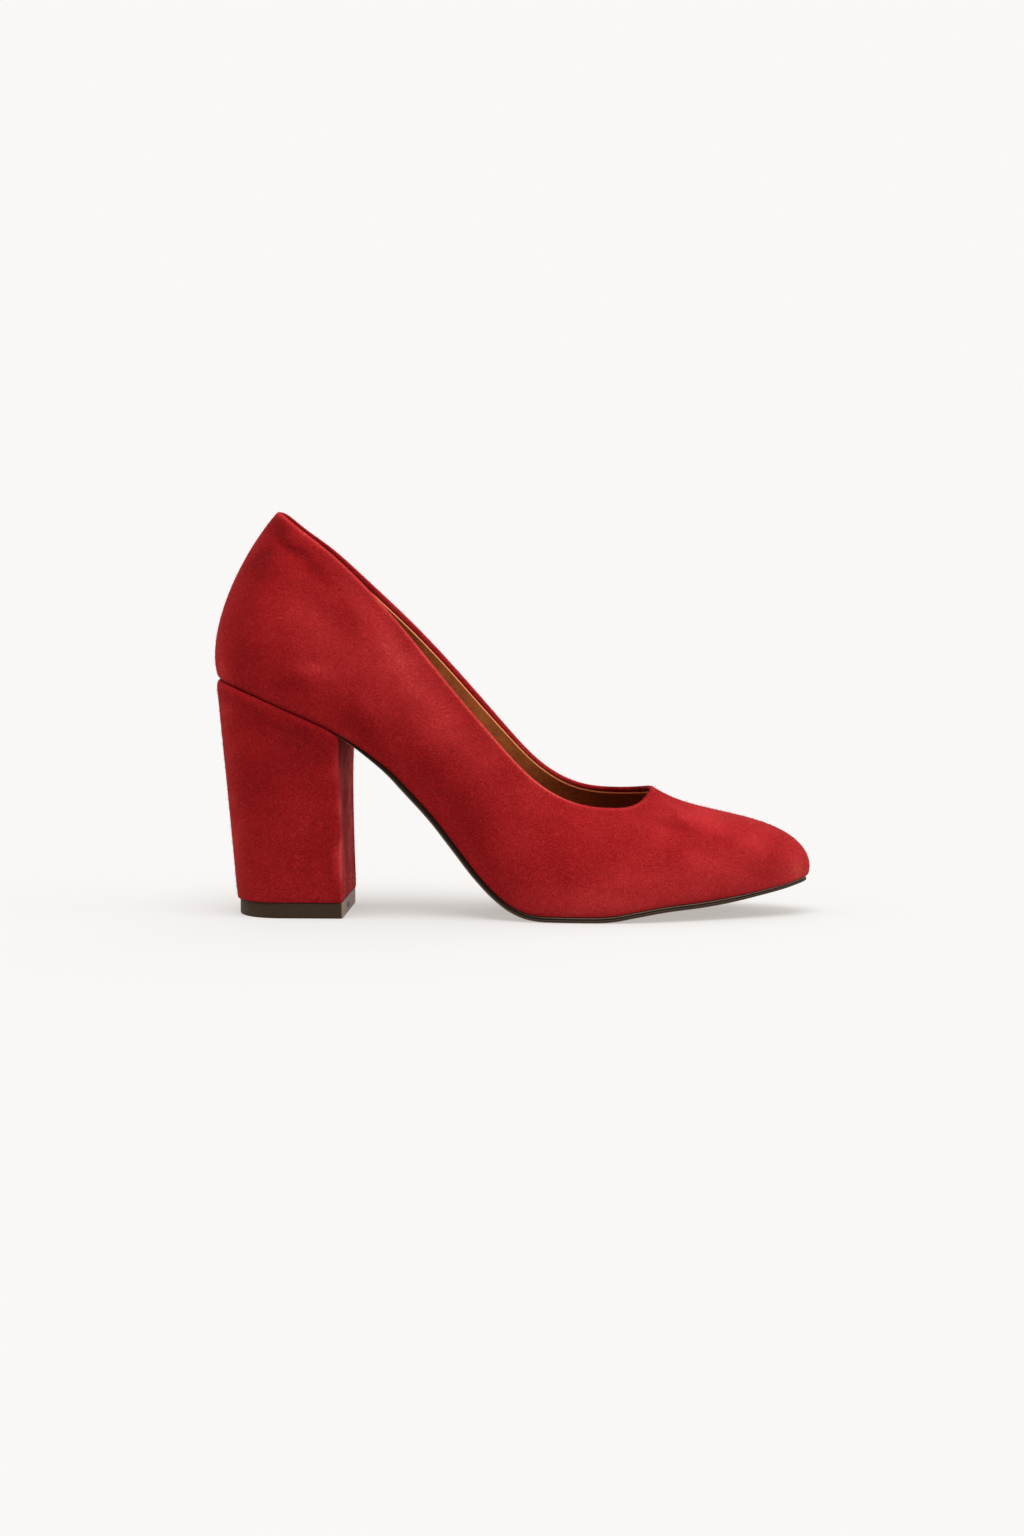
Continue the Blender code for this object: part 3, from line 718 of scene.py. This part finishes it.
outsoleSet = dict(
    lapStart=47.5, lapEnd=72.0, thinEnd=0.2,  # it thins out towards the heel's breast
    gap=0.1,  # under the upper
    toeThin=0.76, strips=16,
    # inset from the feather line, depth below it, and how light it is in the forepart and at the waist:
    # painted highlights along the edge's arrises, and darker low down at the waist
    edge=(
        (1.75, 2.2, 0.0, 0.1), (1.3, 2.14, 0.35, 0.7), (1.02, 1.95, 0.5, 0.8), (0.92, 1.72, 0.1, 0.35),
        (0.9, 1.5, 0.0, 0.0), (0.9, 1.34, 0.35, 0.1), (0.9, 1.2, 0.35, 0.0), (0.94, 1.08, 0.0, -0.6),
        (0.96, 0.8, 0.0, -0.8), (0.88, 0.62, 0.0, -0.8), (0.84, 0.46, 0.7, -0.5), (0.86, 0.3, 1.0, -0.3),
        (0.96, 0.14, 0.4, -0.6), (1.3, 0.1, 0.0, -0.6),
    ),
    waistEnds=(100.0, 132.0),
)


def soleShare(x):
    run = np.clip((x - outsoleSet["lapStart"]) / (outsoleSet["lapEnd"] - outsoleSet["lapStart"]), 0, 1)
    toe = np.interp(x, lastSet["toeSpan"], (1.0, outsoleSet["toeThin"]))
    return (outsoleSet["thinEnd"] + (1 - outsoleSet["thinEnd"]) * run) * toe


def makeOutsole(opts):
    layers = []
    for inset, depth, _, _ in opts["edge"]:
        grid = across(*soleOutline(inset, opts["lapStart"]), opts["strips"])
        layers.append(belowBottom(grid, opts["gap"] + (depth - opts["gap"]) * soleShare(grid[..., 0])))
    edgeHighlightAndTone = [np.interp(layer[:, 0, 0], opts["waistEnds"], (waist, front))
            for layer, (_, _, front, waist) in zip(layers, opts["edge"])]
    return stackMesh("outsoleEdged", layers, nap=edgeHighlightAndTone)


outsole = makeOutsole(outsoleSet)

sockSet = dict(
    strips=16,
    crown=0.5,
    # inset from the feather line and height above it
    edge=((2.6, 2.3), (2.15, 2.35), (1.75, 2.75), (1.45, 3.35), (1.5, 3.7), (1.75, 3.93), (2.2, 4.02)),
)


def makeSock(opts):
    layers = []
    for inset, height in opts["edge"]:
        grid = across(*soleOutline(inset), opts["strips"])
        layers.append(belowBottom(grid, -height))
    share = np.linspace(-1, 1, opts["strips"] + 1)
    layers[-1][..., 2] += opts["crown"] * (1 - share ** 2)[None, :] ** 2
    return stackMesh("sock", layers)


sock = makeSock(sockSet)
print("outsole and sock made")


# Heel block in its suede cover, and the top piece under it

heelRows = [  # share of the height, back edge, breast, half width, back corners' length, turn of the breast
    (0.0, 8.7, 50.4, 26.2, 19.5, 0.60),
    (0.02, 8.5, 50.6, 26.5, 20.0, 0.60),
    (0.25, 6.8, 50.3, 26.6, 20.5, 0.45),
    (0.5, 4.9, 49.9, 26.7, 21.0, 0.50),
    (0.75, 2.9, 49.6, 26.7, 21.5, 0.75),
    (0.9, 1.7, 49.5, 26.6, 22.0, 1.10),
    (0.965, 1.2, 49.5, 26.5, 22.0, 1.10),
    (0.988, 1.6, 49.5, 26.1, 22.0, 1.10),
    (1.0, 2.6, 49.4, 25.3, 22.0, 1.10),
]
heelSet = dict(
    foot=6.0,  # the block starts this high, on the top piece
    seatGap=0.12,
    cornerPower=2.4,
    frontRound=1.9,  # soft corners of the breast
    breastHollow=0.35,
    streaks=0.8,  # how strongly the nap is streaked down the breast
    seam=(0.42, 0.34),  # depth and half width of the butt seam down the breast
    lap=(43.0, 47.5, 2.2, 1.18),  # room for the outsole's thin end: from, to, thickness, slope
    seamFrom=48.0, breastFrom=48.9,  # the seam and the streaks lie ahead of these
)
capScales = (0.2, 0.5, 0.8, 0.95)  # rings that close the ends of the block and the top piece


def heelOutline(back, front, half, corner, opts, frontRound):
    outer = []
    for angle in np.linspace(0, math.pi / 2, 33):
        x = back + corner * (1 - math.cos(angle) ** (2 / opts["cornerPower"]))
        outer.append((x, -half * math.sin(angle) ** (2 / opts["cornerPower"])))
    sideEnd = front - frontRound
    for share in np.linspace(0, 1, 11)[1:]:
        outer.append((back + corner + (sideEnd - back - corner) * share, -half))
    for angle in np.linspace(0, math.pi / 2, 8)[1:]:
        outer.append((sideEnd + frontRound * math.sin(angle), -half + frontRound * (1 - math.cos(angle))))
    reach = half - frontRound
    for share in (0.85, 0.7, 0.55, 0.4, 0.28, 0.18, 0.1):
        outer.append((front, -reach * share))
    for y in (1.2, 0.8, 0.55, 0.38, 0.24, 0.12, 0.0):
        outer.append((front, -y))
    outer = np.array(outer)
    return np.concatenate([outer, (outer[1:-1] * (1, -1))[::-1]])


def makeHeelCover(opts):
    shares = np.concatenate([
        [0.0, 0.004, 0.01, 0.018], np.linspace(0.03, 0.93, 44),
        [0.945, 0.957, 0.967, 0.976, 0.984, 0.991, 0.996, 1.0],
    ])
    lapFrom, lapTo, lapDeep, lapSlope = opts["lap"]
    seamDeep, seamHalf = opts["seam"]

    def ring(share, scale=1.0):
        back, front, half, corner, turn = (smoothCurve(heelRows, k, share) for k in range(1, 6))
        plan = heelOutline(back, front, half, corner, opts, opts["frontRound"])
        onBreast = np.clip((plan[:, 0] - front + 0.4) / 0.4, 0, 1)
        hollow = opts["breastHollow"] * (1 - (plan[:, 1] / half) ** 2)
        plan[:, 0] -= onBreast * (hollow + seamDeep * np.exp(-(plan[:, 1] / seamHalf) ** 2))
        forward = np.clip((plan[:, 0] - back - corner) / (front - back - corner), 0, 1)
        plan[:, 0] += turn * forward * plan[:, 1] / half
        middle = np.array([(back + front) / 2, 0.0])
        plan = middle + (plan - middle) * scale
        room = np.clip((plan[:, 0] - lapFrom) / (lapTo - lapFrom), 0, 1) * soleShare(plan[:, 0])
        seat = bottomHeight(plan[:, 0]) - opts["seatGap"] - lapDeep * room * lapSlope
        return np.stack([plan[:, 0], plan[:, 1], opts["foot"] + (seat - opts["foot"]) * share], axis=1)

    rings = [ring(0.0, scale) for scale in capScales]
    rings += [ring(share) for share in shares]
    rings += [ring(1.0, scale) for scale in capScales[::-1]]
    rings = np.array(rings)
    inSeam = np.exp(-(rings[..., 1] / seamHalf) ** 2) * (rings[..., 0] > opts["seamFrom"])
    onBreast = np.clip((rings[..., 0] - opts["breastFrom"]) / 0.6, 0, 1)
    streaks = [noise.noise(Vector((0.0, y * 0.17, z * 0.02))) for _, y, z in rings.reshape(-1, 3)]
    # painted light and shade marks, a darker line down the seam, and streaks of nap on the breast
    nap = napAndPaintedLightAt(rings, napAndPaintedLightSet["heel"]) - 0.6 * inSeam
    nap += onBreast * np.array(streaks).reshape(nap.shape) * opts["streaks"]
    pile = np.array([0.0] * 6 + [1.0] * (len(rings) - 14) + [0.0] * 8)[:, None]
    return shellMesh("heelCover", rings, sharp=60, nap=nap, pile=pile)


heel = makeHeelCover(heelSet)

topPieceSet = dict(
    back=9.7, front=50.5, half=25.9, corner=19.2, frontRound=0.9, turn=0.35, turnSpan=(40.0, 10.0),
    # painted highlight: the breast face is painted paler
    breastHighlight=1.0,  # the breast face is paler
    # height and how far in from the sole's own outline
    profile=((0.0, 0.4), (0.1, 0.16), (0.35, 0.02), (0.8, 0.0), (3.0, 0.0), (5.0, 0.0), (5.6, 0.03),
             (5.78, 0.14), (5.85, 0.4)),
)


def makeTopPiece(opts):
    turnFrom, turnOver = opts["turnSpan"]

    def ring(height, inset, scale=1.0):
        plan = heelOutline(opts["back"] + inset, opts["front"] - inset, opts["half"] - inset,
                           opts["corner"] - inset, heelSet, opts["frontRound"])
        forward = np.clip((plan[:, 0] - turnFrom) / turnOver, 0, 1)
        plan[:, 0] += opts["turn"] * forward * plan[:, 1] / opts["half"]
        middle = np.array([(opts["back"] + opts["front"]) / 2, 0.0])
        plan = middle + (plan - middle) * scale
        return np.stack([plan[:, 0], plan[:, 1], np.full(len(plan), height)], axis=1)

    first, final = opts["profile"][0], opts["profile"][-1]
    rings = [ring(*first, scale) for scale in capScales]
    rings += [ring(height, inset) for height, inset in opts["profile"]]
    rings += [ring(*final, scale) for scale in capScales[::-1]]
    rings = np.array(rings)
    # painted highlight on the breast face
    paleAndHighlight = opts["breastHighlight"] * np.clip((rings[..., 0] - opts["front"] + 1.0) / 0.5, 0, 1)
    paleAndHighlight[rings[..., 2] < 0.3] = 0.0
    return shellMesh("topPieceMoulded", rings, sharp=40, nap=paleAndHighlight)


topPiece = makeTopPiece(topPieceSet)
print("heel cover and top piece made")


# Materials

def newGroup(name, kind, inputs, outputs):
    # inputs and outputs name their sockets under the kind of socket
    tree = bpy.data.node_groups.new(name, kind)
    for way, sockets in (("INPUT", inputs), ("OUTPUT", outputs)):
        for sort, labels in sockets.items():
            for label in labels.split():
                tree.interface.new_socket(name=label, in_out=way, socket_type="NodeSocket" + sort)
    return tree, tree.nodes.new("NodeGroupInput").outputs, tree.nodes.new("NodeGroupOutput").inputs


def noiseTexture(tree, vector, scale, detail=3.0, roughness=0.55, distortion=0.0):
    return addNode(tree, "ShaderNodeTexNoise", Vector=vector, Scale=scale, Detail=detail,
                   Roughness=roughness, Distortion=distortion).outputs["Fac"]


def pebbleTexture(tree, vector, scale):
    node = addNode(tree, "ShaderNodeTexVoronoi", dict(feature="SMOOTH_F1"), Vector=vector, Scale=scale)
    return node.outputs["Distance"]


def maths(tree, operation, first, second=0.0, clamp=False):
    return addNode(tree, "ShaderNodeMath", dict(operation=operation, use_clamp=clamp),
                   at0=first, at1=second).outputs[0]


def plus(tree, total, value, weight):
    return maths(tree, "ADD", total, maths(tree, "MULTIPLY", value, weight))


def vectorMaths(tree, operation, first, output=0, **others):
    node = addNode(tree, "ShaderNodeVectorMath", dict(operation=operation), at0=first, **others)
    return node.outputs[output]


def remap(tree, value, fromLow, fromHigh, toLow, toHigh):
    values = {"Value": value, "From Min": fromLow, "From Max": fromHigh, "To Min": toLow, "To Max": toHigh}
    return addNode(tree, "ShaderNodeMapRange", **values).outputs["Result"]


def blendColor(tree, factor, first, second):
    node = addNode(tree, "ShaderNodeMix", dict(data_type="RGBA"), at0=factor, at6=first, at7=second)
    return node.outputs[2]


suedeScales = dict(
    warp=95.0, warpBy=0.012, patch=55.0, clump=420.0, fibre=2900.0, pebble=1150.0, fleck=2300.0,
)


def makeSuedeGroup(scales):
    # brushed suede: patches of nap lying either way, clumps of fibre, and single fibres that catch the light;
    # the attribute input adds painted light and shade, and past full brightness a painted highlight
    tree, given, out = newGroup(
        "brushedSuede", "ShaderNodeTree",
        {"Vector": "Vector", "Color": "Deep Body Bright Light",
         "Float": "Nap Patch Clump Fibre Pebble Fleck"},
        {"Color": "Color", "Float": "Height Roughness"},
    )

    def layer(vector, *settings):
        return remap(tree, noiseTexture(tree, vector, *settings), 0.3, 0.7, -0.5, 0.5)

    place = given["Vector"]
    warp = addNode(tree, "ShaderNodeTexNoise", Vector=place, Scale=scales["warp"], Detail=2.0)
    shifted = vectorMaths(tree, "SUBTRACT", warp.outputs["Color"], at1=(0.5, 0.5, 0.5))
    drift = vectorMaths(tree, "ADD", place, at1=vectorMaths(tree, "SCALE", shifted, Scale=scales["warpBy"]))
    stretched = addNode(tree, "ShaderNodeMapping", Vector=drift, Rotation=(0.4, 0.3, 0.6),
                        Scale=(1.0, 1.0, 0.42))
    clumps = layer(drift, scales["clump"], 3.0, 0.6)
    fibres = layer(stretched.outputs[0], scales["fibre"], 2.0, 0.7, 0.6)
    tone = maths(tree, "MULTIPLY", layer(drift, scales["patch"], 3.0), given["Patch"])
    tone = plus(tree, tone, clumps, given["Clump"])
    tone = plus(tree, tone, fibres, given["Fibre"])
    tone = maths(tree, "ADD", tone, given["Nap"])
    pebbles = remap(tree, pebbleTexture(tree, drift, scales["pebble"]), 0.1, 0.75, 0.5, -0.5)
    tone = plus(tree, tone, pebbles, given["Pebble"])
    specks = remap(tree, noiseTexture(tree, place, scales["fleck"], 1.5, 0.6), 0.54, 0.72, 0.0, 1.0)
    specks = maths(tree, "MULTIPLY", specks, given["Fleck"])
    specks = maths(tree, "MULTIPLY", specks, remap(tree, tone, -0.9, 0.9, 0.25, 1.35))
    darkened = maths(tree, "MULTIPLY", tone, -1.0, clamp=True)
    lifted = maths(tree, "MULTIPLY", tone, 1.0, clamp=True)
    mixed = blendColor(tree, lifted, given["Body"], given["Bright"])
    mixed = blendColor(tree, darkened, mixed, given["Deep"])
    # painted highlight where the tone runs past full brightness
    paintedHighlight = maths(tree, "MULTIPLY", maths(tree, "SUBTRACT", tone, 1.0), 0.7, clamp=True)
    mixed = blendColor(tree, maths(tree, "ADD", specks, paintedHighlight, clamp=True), mixed, given["Light"])
    height = plus(tree, maths(tree, "MULTIPLY", clumps, 0.5), fibres, 0.5)
    tree.links.new(mixed, out["Color"])
    tree.links.new(plus(tree, height, pebbles, 0.7), out["Height"])
    tree.links.new(remap(tree, tone, -0.5, 0.5, 0.98, 0.86), out["Roughness"])
    return tree


grainScales = dict(slow=70.0, fine=900.0)


def makeGrainGroup(scales):
    # smooth leather: fine pebbles and slow changes of tone; the attribute's value carries painted highlights
    # and painted shade, and the lining's paler cut edge
    tree, given, out = newGroup(
        "fineGrain", "ShaderNodeTree",
        {"Vector": "Vector", "Color": "Light Dark Edge", "Float": "Nap Scale Shine"},
        {"Color": "Color", "Float": "Height Roughness"},
    )
    cells = pebbleTexture(tree, given["Vector"], given["Scale"])
    slow = noiseTexture(tree, given["Vector"], scales["slow"], 4.0)
    fine = noiseTexture(tree, given["Vector"], scales["fine"], 3.0)
    share = plus(tree, maths(tree, "MULTIPLY", slow, 0.24), fine, 0.26)
    share = remap(tree, plus(tree, share, given["Nap"], 0.4), 0.1, 0.4, 0.0, 1.0)
    mixed = blendColor(tree, share, given["Dark"], given["Light"])
    # towards the edge colour: painted highlights, and the lining's paler cut edge
    paleAndHighlight = maths(tree, "MULTIPLY", given["Nap"], remap(tree, fine, 0.3, 0.7, 0.75, 1.1), clamp=True)
    rough = maths(tree, "ADD", given["Shine"], remap(tree, slow, 0.3, 0.7, -0.06, 0.06))
    tree.links.new(blendColor(tree, paleAndHighlight, mixed, given["Edge"]), out["Color"])
    tree.links.new(maths(tree, "ADD", cells, fine), out["Height"])
    tree.links.new(rough, out["Roughness"])
    return tree


suedeGroup = makeSuedeGroup(suedeScales)
grainGroup = makeGrainGroup(grainScales)


def makeLook(name, group, opts):
    # each input of the group takes the setting that has its name
    material, tree, shader = newMaterial(name, opts["fixed"])
    place = addNode(tree, "ShaderNodeTexCoord").outputs["Object"]
    nap = addNode(tree, "ShaderNodeAttribute", dict(attribute_name="nap")).outputs["Fac"]
    chosen = {socket.name: opts[socket.name.lower()] for socket in group.interface.items_tree
              if socket.in_out == "INPUT" and socket.name.lower() in opts}
    look = addNode(tree, "ShaderNodeGroup", dict(node_tree=group), Vector=place, Nap=nap, **chosen).outputs
    strength, distance = opts["bump"]
    bump = addNode(tree, "ShaderNodeBump", Strength=strength, Distance=distance, Height=look["Height"])
    color = look["Color"]
    # the pin hole: a spot of painted shade, not cut into the piece
    if "pin" in opts:
        centre, radius, squeeze = opts["pin"]
        middle = tuple((np.array(centre) + shift) * (mm, squeeze * mm, mm))
        scaled = vectorMaths(tree, "MULTIPLY", place, at1=(1.0, squeeze, 1.0))
        away = vectorMaths(tree, "DISTANCE", scaled, "Value", at1=middle)
        hole = remap(tree, away, radius * 0.8 * mm, radius * 1.2 * mm, 1.0, 0.0)
        color = blendColor(tree, hole, color, opts["inside"])
    tree.links.new(color, shader.inputs["Base Color"])
    tree.links.new(look["Roughness"], shader.inputs["Roughness"])
    tree.links.new(bump.outputs["Normal"], shader.inputs["Normal"])
    return material


suedeSet = dict(
    fixed={
        "Specular IOR Level": 0.03, "Sheen Weight": 0.07, "Sheen Roughness": 0.45,
        "Sheen Tint": (1.0, 0.13, 0.12, 1.0),
    },
    deep=(0.085, 0.0018, 0.0024, 1.0),
    body=(0.195, 0.0043, 0.0056, 1.0),
    bright=(0.340, 0.0165, 0.0185, 1.0),
    light=(0.600, 0.0950, 0.0700, 1.0),
    patch=0.30, clump=0.14, fibre=0.74, pebble=0.24, fleck=0.16,
    bump=(0.5, 0.00040),
)


leatherSet = dict(
    lining=dict(
        fixed={"Specular IOR Level": 0.08},
        light=(0.360, 0.105, 0.025, 1.0), dark=(0.125, 0.028, 0.0070, 1.0), scale=1500.0, shine=0.5,
        # edge: the cut edge's colour, paler than the lining and brightened as a painted highlight
        edge=(0.800, 0.270, 0.110, 1.0),
        bump=(0.18, 0.00012),
    ),
    sock=dict(
        fixed={"Specular IOR Level": 0.2, "Coat Weight": 0.05, "Coat Roughness": 0.4},
        light=(0.300, 0.082, 0.022, 1.0), dark=(0.190, 0.045, 0.011, 1.0), scale=1300.0, shine=0.5,
        edge=(0.300, 0.082, 0.022, 1.0),
        bump=(0.2, 0.00012),
    ),
    sole=dict(
        fixed={"Specular IOR Level": 0.06},
        light=(0.021, 0.0115, 0.0075, 1.0), dark=(0.010, 0.0052, 0.0034, 1.0), scale=900.0, shine=0.5,
        # edge: colour of the painted highlights along the sole's edge
        edge=(0.215, 0.142, 0.105, 1.0),
        bump=(0.15, 0.00015),
    ),
    topPiece=dict(
        fixed={"Specular IOR Level": 0.10},
        light=(0.040, 0.0235, 0.0130, 1.0), dark=(0.024, 0.0130, 0.0070, 1.0), scale=700.0, shine=0.6,
        # edge: colour of the breast face's painted highlight
        edge=(0.255, 0.185, 0.145, 1.0),
        # inside: the near-black painted shade of the pin hole
        inside=(0.002, 0.001, 0.001, 1.0),
        pin=((50.4, -4.0, 2.9), 1.05, 0.3),  # hole in the breast face: place, half height, height to width
        bump=(0.25, 0.0002),
    ),
)


def dress(piece, material, slot, *replaced):
    piece.data.materials.append(material)
    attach(piece, shoeBody)
    if replaced:
        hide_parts(*replaced)


fibreSet = dict(
    upperDensity=0.85e6, heelDensity=0.7e6,  # fibres to a square metre
    length=0.0010, thick=0.000038, spread=0.35, seed=7,
)


def makeFibreTree():
    # fibres of the nap: thin spikes scattered over the hairy faces, each leaning its own way
    tree, given, out = newGroup(
        "napFibres", "GeometryNodeTree",
        {"Geometry": "Geometry", "Float": "Density Length Thick Spread", "Int": "Seed",
         "Material": "Material"},
        {"Geometry": "Geometry"},
    )
    pile = addNode(tree, "GeometryNodeInputNamedAttribute", dict(data_type="FLOAT"), Name="pile")
    there = maths(tree, "MULTIPLY", pile.outputs["Attribute"], given["Density"])
    points = addNode(tree, "GeometryNodeDistributePointsOnFaces", dict(distribute_method="RANDOM"),
                     Mesh=given["Geometry"], Density=there, Seed=given["Seed"]).outputs
    spike = addNode(tree, "GeometryNodeMeshCone", dict(fill_type="NGON"), Vertices=3, at4=given["Thick"],
                    Depth=given["Length"])
    anyWay = addNode(tree, "FunctionNodeRandomValue", dict(data_type="FLOAT_VECTOR"), at0=(-1.0, -1.0, -1.0),
                     at1=(1.0, 1.0, 1.0), Seed=given["Seed"])
    upright = vectorMaths(tree, "SCALE", points["Normal"], Scale=given["Spread"])
    lean = vectorMaths(tree, "ADD", anyWay.outputs["Value"], at1=upright)
    turn = addNode(tree, "FunctionNodeAlignRotationToVector", dict(axis="Z"), Vector=lean)
    size = addNode(tree, "FunctionNodeRandomValue", dict(data_type="FLOAT"), at2=0.45, at3=1.3,
                   Seed=given["Seed"])
    placed = addNode(tree, "GeometryNodeInstanceOnPoints", Points=points["Points"],
                     Instance=spike.outputs["Mesh"], Rotation=turn.outputs["Rotation"], Scale=size.outputs[1])
    real = addNode(tree, "GeometryNodeRealizeInstances", Geometry=placed.outputs["Instances"])
    painted = addNode(tree, "GeometryNodeSetMaterial", Geometry=real.outputs["Geometry"],
                      Material=given["Material"])
    tree.links.new(painted.outputs["Geometry"], out["Geometry"])
    return tree


def growFibres(name, carrier, tree, density, material):
    values = {key.capitalize(): fibreSet[key] for key in ("length", "thick", "spread", "seed")}
    values.update(Density=density, Material=material)
    modifier = carrier.modifiers.new("fibres", "NODES")
    modifier.node_group = tree
    for socket in tree.interface.items_tree:
        if socket.in_out == "INPUT" and socket.name in values:
            modifier[socket.identifier] = values[socket.name]
    view = bpy.context.evaluated_depsgraph_get()
    mesh = bpy.data.meshes.new_from_object(carrier.evaluated_get(view))
    carrier.modifiers.remove(modifier)
    mesh.name = name
    piece = addObject(name, mesh)
    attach(piece, shoeBody)
    print(name, len(mesh.polygons), "faces")
    return piece


fibreLook = dict(
    fixed={"Roughness": 0.8, "Specular IOR Level": 0.1},
    dull=(0.21, 0.007, 0.009, 1.0), bright=(0.42, 0.042, 0.042, 1.0), scale=600.0,
)


def makeFibreMaterial(opts):
    material, tree, shader = newMaterial("suedeFibre", opts["fixed"])
    place = addNode(tree, "ShaderNodeTexCoord").outputs["Object"]
    tone = remap(tree, noiseTexture(tree, place, opts["scale"], 2.0), 0.35, 0.65, 0.0, 1.0)
    tree.links.new(blendColor(tree, tone, opts["dull"], opts["bright"]), shader.inputs["Base Color"])
    return material


suede = makeLook("redSuede", suedeGroup, suedeSet)
fibreTree = makeFibreTree()
fibreMaterial = makeFibreMaterial(fibreLook)
upperFibres = growFibres("upperFibres", upper, fibreTree, fibreSet["upperDensity"], fibreMaterial)
heelFibres = growFibres("heelFibres", heel, fibreTree, fibreSet["heelDensity"], fibreMaterial)
dress(upper, suede, "red_suede", "upper")
dress(heel, suede, "heel_cover", "heel")
for piece, name, kind, slot, *replaced in (
    (lining, "liningLeather", "lining", "sock_leather"),
    (sock, "sockLeather", "sock", "sock_leather", "insole"),
    (outsole, "soleResin", "sole", "sole_resin", "outsole"),
    (topPiece, "topPieceRubber", "topPiece", "top_piece_rubber", "top_piece"),
):
    dress(piece, makeLook(name, grainGroup, leatherSet[kind]), slot, *replaced)
print("materials placed")
